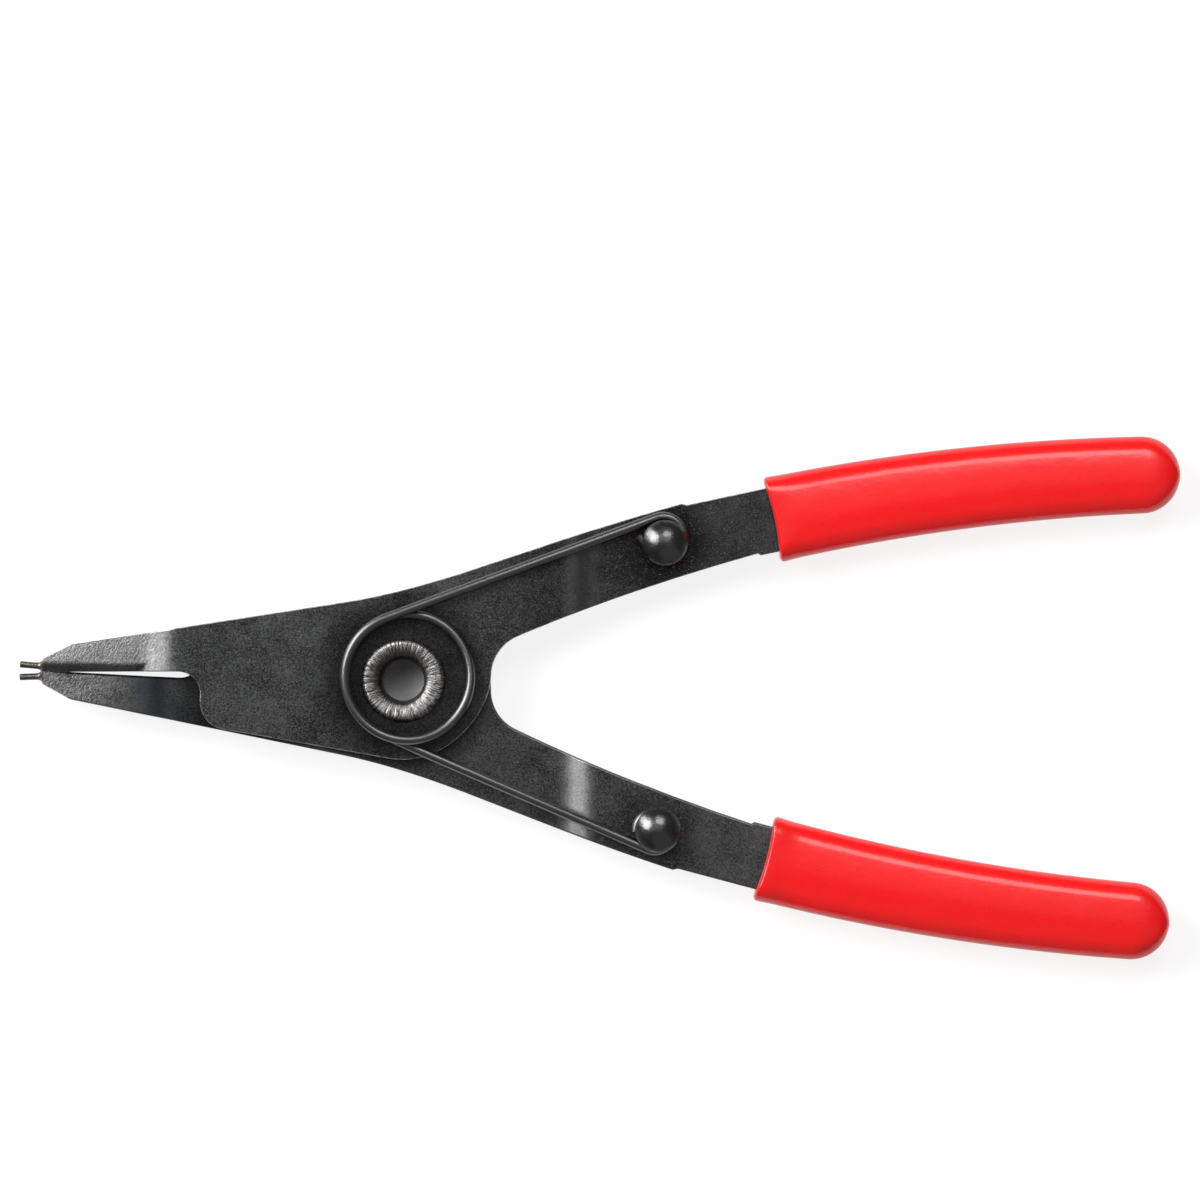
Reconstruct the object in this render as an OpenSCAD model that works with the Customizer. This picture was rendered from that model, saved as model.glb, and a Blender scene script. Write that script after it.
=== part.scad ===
// External circlip pliers. Two like steel levers, stamped and joggled so that jaws and handles
// lie in one plane, turn on a hollow rivet. Closing the handles spreads the two round tips.
// The origin is on the pivot axis, midway between the levers, with +X towards the handles,
// +Y towards the handle of the front lever and +Z towards the clinched end of the rivet.

/* [Levers] */
// Thickness of the lever plate
plate_t = 2.5; // [2:0.1:3.2]
// Pivot axis to the root of the tips
jaw_reach = 53.15; // [45:0.05:64]
// Length of the taper at the end of a jaw
jaw_taper = 5.05; // [3:0.05:6]
// Centre line to the outer corner where the taper starts
jaw_corner = 4; // [3.4:0.1:5]
// Width of a jaw at the root of its tip
jaw_end_w = 1.3; // [1.3:0.02:1.8]
// Length of the closed stretch of the jaws behind the tips
jaw_land = 4.5; // [2:0.1:8]
// Half of the gap between the jaws at the throat
throat_gap = 0.45; // [0.3:0.05:0.8]
// Fillet between the jaw's inner edge and the shoulder
throat_r = 3.2; // [2:0.1:4]
// Pivot axis to the front shoulder of a lever
shoulder_reach = 29.35; // [25:0.05:31]
// Corner radius of the shoulder
shoulder_r = 4; // [2:0.1:5]
// Radius of the lobe round the pivot
lobe_r = 11.5; // [10:0.1:12.2]
// Slope of the straight flank between lobe and shoulder
flank_angle = 8.6; // [7:0.1:9.5]
// Pivot axis to where the jaw's straight outer edge ends
waist_x = 8.7; // [6:0.1:12]
// Centre line to that end of the outer edge
waist_y = 11.1; // [10.5:0.1:13]
// Width of the relief ground along the jaw's inner edge
relief_w = 1.1; // [0.6:0.1:1.5]
// Depth of that relief at the edge
relief_d = 0.4; // [0.2:0.05:0.6]
// Pivot axis to the inner end of the relief
relief_x = 37.5; // [36:0.1:42]
// Length over which the relief runs out at that end
relief_run = 0.8; // [0.4:0.1:2]

/* [Joggles] */
// Pivot axis to the outer end of the jaw's bend
jaw_bend_x = 38.7; // [38:0.1:40]
// Length of the jaw's bend
jaw_bend_len = 6.4; // [4:0.1:6.8]
// Pivot axis to the inner end of the arm's bend
arm_bend_x = 22.7; // [20:0.1:26]
// Length of the arm's bend
arm_bend_len = 6; // [4:0.1:7]

/* [Arms] */
// Pivot axis to the root of the arm's outer edge
arm_root_x = 14.5; // [12:0.1:17]
// Centre line to the root of the arm's outer edge
arm_root_y = 18; // [16.5:0.1:19.5]
// Slope of the outer edge at the arm's root
arm_root_angle = 20.3; // [18:0.1:22]
// Slope of the outer edge where the arm ends at the tang
arm_end_angle = 17; // [15:0.1:19]
// Pivot axis to the bottom of the crotch between the arms
crotch_x = 12.7; // [12.4:0.1:14]
// Centre line to the bottom of the crotch
crotch_y = 1; // [0.5:0.1:2]
// Radius of the crotch
crotch_r = 6.3; // [5:0.1:7]
// Slope of the arm's inner edge at the crotch
crotch_angle = 24.3; // [20:0.1:27]
// Slope of the arm's inner edge at the tang
arm_inner_angle = 17; // [15:0.1:19]

/* [Handles] */
// Pivot axis to the middle of the grip's mouth
mouth_x = 52.8; // [48:0.1:66]
// Centre line to the middle of the grip's mouth
mouth_y = 24.5; // [22:0.1:27]
// Slope of the handle at the mouth
mouth_angle = 13.5; // [12:0.1:15]
// Bend radius of the handle's centre line
handle_bend_r = 300; // [250:5:500]
// Length of the grip along the handle
grip_len = 59.7; // [45:0.1:75]
// Width of the tang at the grip's mouth
tang_w = 9.4; // [8:0.1:11]
// Width of the tang at its end
tang_end_w = 8.2; // [6:0.1:9]
// Small step where the tang meets the arm
tang_step = 0.35; // [0.1:0.05:0.6]
// Bare tang on the outer edge, from the mouth to its step
outer_bare = 11.6; // [8:0.1:13]
// Bare tang on the inner edge, from the mouth to its step
inner_bare = 2.6; // [1.5:0.1:6]
// Thickness of the dipped vinyl
coat = 1.5; // [1:0.1:2]
// Corner radius of the grip's section
grip_corner_r = 2.3; // [1.5:0.1:2.5]
// Hollow of the grip's mouth between its edges
mouth_bow = 0.4; // [0:0.05:0.8]

/* [Tips] */
// Diameter of the round tip turned on the end of a jaw
tip_d = 0.97; // [0.8:0.01:1.17]
// Length of a tip
tip_out = 2.5; // [2:0.05:5]
// Centre line to the middle of a tip at its root
tip_y = 0.78; // [0.76:0.01:0.85]
// Outward slope of a tip
tip_splay = 3.4; // [2:0.1:5]
// Fillet turned at a tip's root
tip_fillet = 0.8; // [0.4:0.05:1]
// Bevel on a tip's end
tip_bevel = 0.1; // [0.05:0.01:0.2]

/* [Rivet] */
// Diameter of the rivet's shank
rivet_d = 9.5; // [7.5:0.1:10.5]
// Diameter of the hole in the rivet
rivet_hole_d = 6.6; // [5:0.1:7]
// Diameter of the rolled clinch
clinch_d = 12.2; // [11.5:0.1:13.5]
// Radius of the clinch's rounded outer edge
clinch_r = 0.9; // [0.6:0.05:1.1]
// Diameter of the domed head on the back
rivet_head_d = 14; // [12:0.1:16]
// Height of that head
rivet_head_h = 2.2; // [1.5:0.1:3]
// Depth of the hole's wall below the mid plane
rivet_hole_floor = 0.4; // [0.2:0.1:1.5]
// Depth of the cone at the bottom of the hole
rivet_hole_cone = 0.4; // [0.1:0.1:1]

/* [Spring] */
// Diameter of the spring wire
wire_d = 1.4; // [1:0.05:1.7]
// Mean radius of the coil
coil_r = 9.1; // [8:0.05:10]
// Pivot axis to the middle of the coil, towards the handles
coil_x = 0.7; // [0:0.1:1]
// Centre line to the middle of the coil
coil_y = 0.5; // [0:0.1:1]
// Mean radius of the upper hook
upper_hook_r = 3.1; // [2.8:0.05:4]
// Angle that the upper hook wraps round its stud
upper_hook_wrap = 220; // [200:5:230]
// Sharper bend at the end of the upper hook
upper_tail_turn = 33; // [20:1:40]
// Straight end after that bend
upper_hook_tail = 4.1; // [1:0.1:4.1]
// Mean radius of the lower hook
lower_hook_r = 2.8; // [2.6:0.05:3.4]
// Angle that the lower hook wraps round its stud
lower_hook_wrap = 293; // [200:1:293]
// Straight end after the lower hook
lower_hook_tail = 0.1; // [0.1:0.1:0.3]

/* [Studs] */
// Pivot axis to the studs, along the handles
stud_x = 37.4; // [33:0.1:39]
// Centre line to a stud
stud_y = 20.8; // [20:0.1:21.5]
// Diameter of a stud's domed head
stud_head_d = 6.6; // [5.5:0.1:7.5]
// Height of the dome
stud_head_h = 1.5; // [1:0.1:3]
// Diameter of a stud's shank
stud_d = 3.2; // [2.8:0.1:3.4]
// Diameter of the riveted end behind the handle
stud_tail_d = 5.4; // [4.6:0.1:6]
// Height of the riveted end
stud_tail_h = 0.7; // [0.4:0.1:1]

/* [Clearances] */
// Gap between the levers, and half of it between the jaws
lever_gap = 0.1; // [0.05:0.01:0.2]
// Radial clearance of the rivet in the levers
pivot_clear = 0.05; // [0.02:0.01:0.1]
// End play under the clinch
clinch_clear = 0.05; // [0.02:0.01:0.2]
// Clearance of studs and grips in or on the lever that holds them
seat_clear = 0.02; // [0.01:0.01:0.05]
// Room between the wire and what it lies on
wire_clear = 0.05; // [0.02:0.01:0.1]
// Room for the wire under a stud's head
hook_room = 0.35; // [0.2:0.05:0.6]

/* [Hidden] */
$fn = 64;

// Levels: a lever is lifted by half its thickness and half the gap between the two bends
lift = (plate_t + lever_gap) / 2;
lever_top = lever_gap / 2 + plate_t;
handle_top = plate_t / 2;
margin = 1;
through_h = 6 * plate_t;
through_w = 4 * mouth_x;

// Numbers of steps in the parts of an outline, a bend, the spring and a grip
curve_steps = 12;
bend_steps = 12;
tang_steps = 16;
hook_steps = 18;
leg_steps = 12;
coil_steps = 60;
wire_sides = 12;
grip_steps = 10;
cap_steps = 8;
corner_steps = 6;
// Share of a bend that is rounded at each end
bend_round = 0.5;

// Jaw and pivot places
waist = [waist_x, waist_y];
arm_root = [arm_root_x, arm_root_y];
crotch = [crotch_x, crotch_y];
jaw_gap = lever_gap / 2;
taper_x = jaw_reach - jaw_taper;
jaw_angle = atan2(waist.y - jaw_corner, taper_x - waist.x);
land_end_x = jaw_reach - jaw_land;
jaw_inner_angle = atan2(throat_gap - jaw_gap, land_end_x - shoulder_reach - throat_r);
flank_end = lobe_r * [-sin(flank_angle), -cos(flank_angle)];
shoulder_cx = shoulder_r - shoulder_reach;
shoulder_cy = flank_end.y + (flank_end.x - shoulder_cx) * tan(flank_angle)
    + shoulder_r / cos(flank_angle);
throat_c = [-shoulder_reach - throat_r, throat_gap - throat_r];
crotch_c = crotch + [crotch_r, 0];
lobe_start_angle = -60;
// The blank that a tip is turned from, and how far the turning reaches from the tip's axis
blank_x = jaw_reach + tip_out + margin;
blank_y = tip_y + tip_d;
turning_r = 2 * plate_t;

// Handle places: the tang's and the grip's round ends share one centre
mouth = [mouth_x, mouth_y];
cap_s = grip_len - tang_end_w / 2 - coat;
handle_end_x = mouth.x + grip_len + margin;
// The grip's rounded lip as [distance from the mouth, growth of the section]
lip_profile = [[0, -0.5], [0.12, -0.15], [0.45, 0.1], [1.2, 0.1], [2.6, 0]];
lip_len = lip_profile[len(lip_profile) - 1][0];
// The grip's end is rounded up to this angle, full near its middle
cap_turn = 85;
cap_fullness = 0.35;

// Spring levels and hook centres: the hooks are drawn sideways against their studs
stud = [stud_x, stud_y];
coil_c = [coil_x, coil_y];
coil_low = lever_top + wire_clear + wire_d / 2;
coil_high = coil_low + wire_d + wire_clear;
hook_z = handle_top + 2 * wire_clear + wire_d / 2;
upper_pull_angle = 110;
lower_pull_angle = -154;
upper_hook_c = stud + hook_pull(upper_hook_r) * heading(upper_pull_angle);
lower_hook_c = [stud.x, -stud.y] + hook_pull(lower_hook_r) * heading(lower_pull_angle);
upper_leg_angle = leg_angle(upper_hook_c, upper_hook_r, 1);
lower_leg_angle = leg_angle(lower_hook_c, lower_hook_r, -1);
coil_start = upper_leg_angle + 90;
coil_end = lower_leg_angle - 90 + 720;
// The turns lie on each other for this angle past each leg
coil_stack = 165;
// Shares of the upper leg over which it rises, and of the lower leg before it falls
upper_leg_rise = 0.85;
lower_leg_flat = 0.2;
stud_seat = handle_top + wire_d + hook_room;

// Points of an arc, and of a smooth curve between two points with given headings
function heading(a) = [cos(a), sin(a)];
function arc(c, r, a0, a1, n = curve_steps) =
    [for (i = [0:n]) c + r * heading(a0 + (a1 - a0) * i / n)];
function curve(p, ap, q, aq, n = curve_steps) =
    let (k = norm(q - p) / 3, p1 = p + k * heading(ap), q1 = q - k * heading(aq))
    [for (i = [0:n]) let (u = i / n, v = 1 - u)
        v * v * v * p + 3 * v * v * u * p1 + 3 * v * u * u * q1 + u * u * u * q];
// A stretch that goes on from the last point of the one before it
function onward(points) = [for (i = [1:len(points) - 1]) points[i]];

// A ramp from 0 to 1 with rounded ends
function ramp(u) =
    let (r = bend_round, k = 2 * r * (1 - r))
    u < r ? u * u / k : u > 1 - r ? 1 - (1 - u) * (1 - u) / k : (u - r / 2) / (1 - r);

// How far a hook of given radius is drawn off its stud's centre until the wire lies on the shank
function hook_pull(r) = r - wire_d / 2 - stud_d / 2 - wire_clear;
// Slope of the leg that touches the coil and a hook of given radius on the outer side
function leg_angle(c, r, side) =
    let (d = c - coil_c)
    atan2(d.y, d.x) - side * asin((coil_r - r) / norm(d));

// Centre line of a handle: straight up to the mouth, then one long bend
function spine_angle(s) = mouth_angle - max(0, s) / handle_bend_r * 180 / PI;
function spine_normal(s) = [-sin(spine_angle(s)), cos(spine_angle(s))];
function spine(s) =
    s < 0 ? mouth + s * heading(mouth_angle)
          : mouth + handle_bend_r * (spine_normal(s) - spine_normal(0));
function tang_half(s) =
    (tang_w + (tang_end_w - tang_w) * min(1, max(0, s) / cap_s)) / 2;
function tang_edge(s, side, extra) =
    spine(s) + side * (tang_half(s) + extra) * spine_normal(s);

// Outline of the tang from a start on each edge, grown by extra
function tang_points(outer_s, inner_s, extra) = concat(
    [tang_edge(outer_s, 1, extra)],
    [for (i = [0:tang_steps]) tang_edge(cap_s * i / tang_steps, 1, extra)],
    onward(arc(spine(cap_s), tang_end_w / 2 + extra, spine_angle(cap_s) + 90, spine_angle(cap_s) - 90)),
    [for (i = [tang_steps - 1:-1:0]) tang_edge(cap_s * i / tang_steps, -1, extra)],
    [tang_edge(inner_s, -1, extra)]
);

// Outline of the front lever's blank, from the tip along the outer edge and back
function lever_points() =
    let (
        outer_step = tang_edge(-outer_bare - 2 * tang_step, 1, tang_step),
        inner_step = tang_edge(-inner_bare - tang_step, -1, -tang_step),
        arm_inner_end = crotch_c + crotch_r * heading(crotch_angle + 90),
        lobe_start = lobe_r * heading(lobe_start_angle)
    )
    concat(
        [[-blank_x, jaw_gap], [-blank_x, blank_y], [-jaw_reach, blank_y]],
        [[-jaw_reach, jaw_gap + jaw_end_w], [-taper_x, jaw_corner]],
        curve([-waist.x, waist.y], jaw_angle, arm_root, arm_root_angle),
        onward(curve(arm_root, arm_root_angle, outer_step, arm_end_angle)),
        tang_points(-outer_bare, -inner_bare, 0),
        curve(inner_step, arm_inner_angle + 180, arm_inner_end, crotch_angle + 180),
        onward(arc(crotch_c, crotch_r, crotch_angle + 90, 180)),
        onward(curve(crotch, -90, lobe_start, lobe_start_angle - 90)),
        onward(arc([0, 0], lobe_r, lobe_start_angle, -90 - flank_angle)),
        arc([shoulder_cx, shoulder_cy], shoulder_r, -90 - flank_angle, -180),
        arc(throat_c, throat_r, 0, 90),
        [[-land_end_x, jaw_gap], [-jaw_reach, jaw_gap]]
    );

// Side view of the front lever: the middle of the plate as [x, level], then both faces
function bend(x, length, from, to) =
    [for (i = [0:bend_steps]) let (u = i / bend_steps)
        [x + length * u, lift * (from + (to - from) * ramp(u))]];
function lever_side() =
    let (
        middle = concat(
            [[-blank_x, 0]],
            bend(-jaw_bend_x, jaw_bend_len, 0, 1),
            bend(arm_bend_x, arm_bend_len, 1, 0),
            [[handle_end_x, 0]]
        ),
        last = len(middle) - 1
    )
    concat(
        [for (p = middle) p + [0, plate_t / 2]],
        [for (i = [last:-1:0]) middle[i] - [0, plate_t / 2]]
    );

// Triangles of a closed tube of rings with the same number of points
function tube_faces(rings, sides) = concat(
    [for (i = [0:rings - 2], j = [0:sides - 1])
        let (k = (j + 1) % sides)
        each [
            [i * sides + j, i * sides + k, (i + 1) * sides + k],
            [i * sides + j, (i + 1) * sides + k, (i + 1) * sides + j]
        ]],
    [[for (j = [sides - 1:-1:0]) j]],
    [[for (j = [0:sides - 1]) (rings - 1) * sides + j]]
);

// Route of the spring wire, from the upper hook's end to the lower hook's end
function lifted(points, z) = [for (p = points) [p.x, p.y, z]];
function upper_leg_z(u) = hook_z + (coil_high - hook_z) * sin(90 * min(1, u / upper_leg_rise));
function lower_leg_z(u) =
    let (fall = max(0, (u - lower_leg_flat) / (1 - lower_leg_flat)))
    coil_low + (hook_z - coil_low) * (1 - cos(180 * fall)) / 2;
function coil_z(a) =
    let (from = coil_start + coil_stack, to = coil_end - coil_stack)
    coil_high + (coil_low - coil_high) * ramp(min(1, max(0, (a - from) / (to - from))));
function spring_route() =
    let (
        upper_end_a = coil_start - upper_hook_wrap,
        lower_end_a = coil_end + lower_hook_wrap,
        upper_hook = arc(upper_hook_c, upper_hook_r, upper_end_a, coil_start, hook_steps),
        lower_hook = arc(lower_hook_c, lower_hook_r, coil_end, lower_end_a, hook_steps),
        upper_end = upper_hook[0] + upper_hook_tail * heading(upper_end_a - 90 - upper_tail_turn),
        lower_end = lower_hook[hook_steps] + lower_hook_tail * heading(lower_end_a + 90),
        coil = arc(coil_c, coil_r, coil_start, coil_end, coil_steps)
    )
    concat(
        lifted([upper_end], hook_z),
        lifted(upper_hook, hook_z),
        [for (i = [1:leg_steps - 1])
            let (u = i / leg_steps, p = upper_hook[hook_steps] * (1 - u) + coil[0] * u)
            [p.x, p.y, upper_leg_z(u)]],
        [for (i = [0:coil_steps])
            [coil[i].x, coil[i].y, coil_z(coil_start + (coil_end - coil_start) * i / coil_steps)]],
        [for (i = [1:leg_steps - 1])
            let (u = i / leg_steps, p = coil[coil_steps] * (1 - u) + lower_hook[0] * u)
            [p.x, p.y, lower_leg_z(u)]],
        lifted(lower_hook, hook_z),
        lifted([lower_end], hook_z)
    );

module lever() {
    difference() {
        intersection() {
            linear_extrude(through_h, center = true) polygon(lever_points());
            rotate([90, 0, 0]) linear_extrude(through_w, center = true) polygon(lever_side());
        }
        cylinder(d = rivet_d + 2 * pivot_clear, h = through_h, center = true);
        translate([stud.x, stud.y, 0])
            cylinder(d = stud_d + 2 * seat_clear, h = through_h, center = true);
        tip_turning();
        jaw_relief();
    }
}

// What is turned off the blank to leave a round tip, a fillet at its root and a cone behind that
module tip_turning() {
    tip_r = tip_d / 2;
    fillet_r = tip_r + tip_fillet;
    end = tip_out + 2 * margin;
    translate([-jaw_reach, tip_y, 0]) rotate([0, 0, -tip_splay]) rotate([0, -90, 0])
        rotate_extrude() {
            polygon([
                [0, tip_out], [tip_r - tip_bevel, tip_out], [tip_r, tip_out - tip_bevel], [tip_r, 0],
                [fillet_r, 0], [fillet_r, -tip_fillet], [turning_r, fillet_r - tip_fillet - turning_r],
                [turning_r, end], [0, end]
            ]);
            translate([fillet_r, 0]) circle(tip_fillet);
        }
}

// The inner edge of a jaw is ground off on its outer face. The slant runs through the relief's
// depth at the edge and its width on the face, and on past both. It runs out up a short ramp.
module jaw_relief() {
    top = plate_t / 2;
    low = top - 2 * relief_d;
    high = top + relief_d;
    cut = [[-relief_w, low], [2 * relief_w, high], [-relief_w, high]];
    ramp_start = -relief_x - 2 * relief_run;
    ramp_end = ramp_start + 3 * relief_run;
    intersection() {
        translate([-land_end_x, jaw_gap, 0]) rotate([0, 0, jaw_inner_angle])
            translate([-jaw_land - margin, 0, 0])
            rotate([90, 0, 90]) linear_extrude(jaw_reach + margin) polygon(cut);
        rotate([90, 0, 0]) linear_extrude(through_w, center = true)
            polygon([[-blank_x, low], [ramp_start, low], [ramp_end, high], [-blank_x, high]]);
    }
}

// A low dome of given width and height, drawn as a half profile from its flat side up
module dome_profile(d, h) {
    r = (d * d / 4 + h * h) / (2 * h);
    intersection() {
        translate([0, h - r]) circle(r);
        square([d / 2, h]);
    }
}

// Domed stud with its flat end riveted over behind the handle
module spring_stud(y) {
    translate([stud.x, y, 0]) rotate_extrude() {
        translate([0, stud_seat]) dome_profile(stud_head_d, stud_head_h);
        translate([0, -handle_top]) square([stud_d / 2, stud_seat + handle_top]);
        translate([0, -handle_top]) mirror([0, 1]) dome_profile(stud_tail_d, stud_tail_h);
    }
}

// One section of the grip: a rectangle of half sizes w and h with rounded corners, bowed along
// the handle in its middle
function grip_ring(s, w, h, bow = 0) =
    let (
        r = min(grip_corner_r, w, h),
        corners = [[w - r, h - r, 0], [r - w, h - r, 90], [r - w, r - h, 180], [w - r, r - h, 270]]
    )
    [for (q = corners, i = [0:corner_steps])
        let (
            a = q.z + 90 * i / corner_steps,
            across = q.x + r * cos(a),
            place = s + bow * (1 - across * across / (w * w)),
            p = spine(place) + across * spine_normal(place)
        )
        [p.x, p.y, q.y + r * sin(a)]];

function grip_rings() =
    let (h = plate_t / 2 + coat, r = tang_end_w / 2 + coat)
    concat(
        [for (lip = lip_profile) let (s = lip[0])
            grip_ring(s, tang_half(s) + coat + lip[1], h + lip[1], mouth_bow * (1 - s / lip_len))],
        [for (i = [1:grip_steps]) let (s = lip_len + (cap_s - lip_len) * i / grip_steps)
            grip_ring(s, tang_half(s) + coat, h)],
        [for (i = [1:cap_steps]) let (a = cap_turn * i / cap_steps)
            grip_ring(cap_s + r * sin(a), r * cos(a), h * pow(cos(a), cap_fullness))]
    );

module grip() {
    rings = grip_rings();
    difference() {
        polyhedron([for (ring = rings) each ring], tube_faces(len(rings), len(rings[0])));
        linear_extrude(plate_t + 2 * seat_clear, center = true)
            polygon(tang_points(-margin, -margin, seat_clear));
    }
}

module front_plate() { color("#3a3a3c") lever(); }

module rear_plate() { color("#333335") rotate([180, 0, 0]) lever(); }

// Semi-tubular rivet: head on the back, hollow end flared and rolled over on the front lever
module pivot_rivet() {
    hole_r = rivet_hole_d / 2;
    seat = lever_top + clinch_clear;
    edge_c = [clinch_d / 2 - clinch_r, seat];
    lip = [for (p = arc([0, 0], 1, 90, 180)) edge_c + [p.x * (edge_c.x - hole_r), p.y * clinch_r]];
    color("silver") rotate_extrude() difference() {
        union() {
            translate([0, -lever_top]) mirror([0, 1]) dome_profile(rivet_head_d, rivet_head_h);
            translate([0, -lever_top]) square([rivet_d / 2, lever_top + seat]);
            intersection() {
                translate(edge_c) circle(clinch_r);
                translate([hole_r, seat]) square([clinch_d, clinch_r]);
            }
            polygon(concat([edge_c], lip));
        }
        translate([0, -rivet_hole_floor]) square([hole_r, clinch_d]);
        translate([0, -rivet_hole_floor]) polygon([[0, 0], [hole_r, 0], [0, -rivet_hole_cone]]);
    }
}

module return_spring() {
    route = spring_route();
    last = len(route) - 1;
    points = [for (i = [0:last])
        let (
            along = route[min(last, i + 1)] - route[max(0, i - 1)],
            t = along / norm(along),
            across = cross(t, [0, 0, 1]) / norm(cross(t, [0, 0, 1])),
            up = cross(across, t)
        )
        for (j = [0:wire_sides - 1])
            let (a = 360 * j / wire_sides)
            route[i] + wire_d / 2 * (cos(a) * across + sin(a) * up)];
    color("#2a2a2c") polyhedron(points, tube_faces(last + 1, wire_sides));
}

module upper_spring_stud() { color("#262628") spring_stud(stud.y); }

module lower_spring_stud() { color("#262628") spring_stud(-stud.y); }

module upper_grip() { color("#e0202a") grip(); }

module lower_grip() { color("#e0202a") rotate([180, 0, 0]) grip(); }

front_plate();
rear_plate();
pivot_rivet();
return_spring();
upper_spring_stud();
lower_spring_stud();
upper_grip();
lower_grip();
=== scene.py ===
import math
import random

import bmesh
import bpy
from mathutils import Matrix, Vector


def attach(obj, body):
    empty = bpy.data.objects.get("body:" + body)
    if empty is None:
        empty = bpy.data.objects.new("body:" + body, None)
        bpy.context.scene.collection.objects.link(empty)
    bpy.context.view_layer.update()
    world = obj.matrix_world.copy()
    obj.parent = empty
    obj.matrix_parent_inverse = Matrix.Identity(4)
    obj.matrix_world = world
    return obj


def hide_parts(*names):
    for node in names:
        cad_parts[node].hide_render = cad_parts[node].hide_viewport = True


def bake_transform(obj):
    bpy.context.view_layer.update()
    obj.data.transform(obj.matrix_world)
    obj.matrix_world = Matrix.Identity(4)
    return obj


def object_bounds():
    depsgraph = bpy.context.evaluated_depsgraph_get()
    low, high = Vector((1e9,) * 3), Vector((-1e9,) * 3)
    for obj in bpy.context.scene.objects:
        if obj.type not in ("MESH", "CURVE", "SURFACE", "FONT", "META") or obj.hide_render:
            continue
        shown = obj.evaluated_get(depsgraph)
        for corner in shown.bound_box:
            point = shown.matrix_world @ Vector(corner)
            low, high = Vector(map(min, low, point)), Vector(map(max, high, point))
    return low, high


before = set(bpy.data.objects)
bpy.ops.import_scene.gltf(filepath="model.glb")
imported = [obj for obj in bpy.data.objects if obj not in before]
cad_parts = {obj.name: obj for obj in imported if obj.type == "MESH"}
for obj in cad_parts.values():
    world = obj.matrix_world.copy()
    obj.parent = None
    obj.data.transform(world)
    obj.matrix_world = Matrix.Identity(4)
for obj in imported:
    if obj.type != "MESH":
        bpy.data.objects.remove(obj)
cad_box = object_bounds()

# Sizes in millimetres and angles in degrees, as built
MM = 0.001
CLEAR = 0.05
PLATE_T = 2.5
LEVER_TOP = 2.55
HANDLE_TOP = PLATE_T / 2
TIP_START = -51.4
JAW_LAND_END = -48.5
RELIEF_END = -36.0
MOUTH = Vector((52.8, 24.5))
MOUTH_ANGLE = 13.5
HANDLE_BEND_R = 300.0
GRIP_LEN = 59.7
TANG_W = 9.4
TANG_END_W = 8.2
COAT = 1.495
GRIP_CORNER_R = 2.6
GRIP_PILLOW = 0.3
CAP_S = GRIP_LEN - TANG_END_W / 2 - COAT
MOUTH_BOW = 0.4
MOUTH_BOW_FADE = 2.6
HOLE_R = 3.3
RIVET_SHANK_R = 4.75
RIVET_HEAD_D = 14.0
RIVET_HEAD_H = 2.2
CLINCH_R = 6.1
CLINCH_EDGE_R = 0.9
CREST_R = CLINCH_R - CLINCH_EDGE_R
WIRE_D = 1.4
COIL_R = 9.1
COIL_C = Vector((0.7, 0.5))
UPPER_HOOK_R = 3.1
LOWER_HOOK_R = 2.8
STUD = Vector((37.4, 20.8))
STUD_SHANK_R = 1.6
STUD_HEAD_D = 6.6
STUD_HEAD_H = 1.5
STUD_TAIL_D = 5.4
STUD_TAIL_H = 0.7

# Limits for cleaning and shading the meshes, in millimetres and degrees
WELD = 0.0005
SHARP_ABOVE = 40
SPIKE_BELOW = 120


# Helpers for shapes

def heading(degrees):
    a = math.radians(degrees)
    return Vector((math.cos(a), math.sin(a)))


def smooth(u):
    u = min(1.0, max(0.0, u))
    return u * u * (3 - 2 * u)


def skin(name, rings, finish):
    """A smooth closed mesh over rings of points in millimetres. A ring of one point is a pole."""
    bm = bmesh.new()
    rows = [[bm.verts.new(p * MM) for p in ring] for ring in rings]
    for low, high in zip(rows, rows[1:]):
        count = max(len(low), len(high))
        for j in range(count):
            k = (j + 1) % count
            if len(low) == 1:
                bm.faces.new((low[0], high[k], high[j]))
            elif len(high) == 1:
                bm.faces.new((low[j], low[k], high[0]))
            else:
                bm.faces.new((low[j], low[k], high[k], high[j]))
    if len(rows[0]) > 1:
        bm.faces.new(list(reversed(rows[0])))
    if len(rows[-1]) > 1:
        bm.faces.new(rows[-1])
    bmesh.ops.recalc_face_normals(bm, faces=bm.faces)
    return piece_from(bm, name, [finish])


def drop_spikes(bm):
    """Removes points where the common edge of two faces turns back on itself."""
    spikes = []
    for vert in bm.verts:
        if len(vert.link_edges) == len(vert.link_faces) == 2:
            back, forth = [edge.other_vert(vert).co - vert.co for edge in vert.link_edges]
            if back.angle(forth) < math.radians(SPIKE_BELOW):
                spikes.append(vert)
    bmesh.ops.dissolve_verts(bm, verts=spikes)


def piece_from(bm, name, finishes):
    """A clean piece with smooth faces, sharp where they meet steeply or an edge is marked so already."""
    bmesh.ops.remove_doubles(bm, verts=bm.verts, dist=WELD * MM)
    bmesh.ops.dissolve_degenerate(bm, edges=bm.edges, dist=WELD * MM)
    drop_spikes(bm)
    for face in bm.faces:
        face.smooth = True
    for edge in bm.edges:
        if edge.is_manifold and edge.calc_face_angle() > math.radians(SHARP_ABOVE):
            edge.smooth = False
    mesh = bpy.data.meshes.new(name)
    bm.to_mesh(mesh)
    bm.free()
    for finish in finishes:
        mesh.materials.append(finish)
    piece = bpy.data.objects.new(name, mesh)
    bpy.context.scene.collection.objects.link(piece)
    return piece


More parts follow.
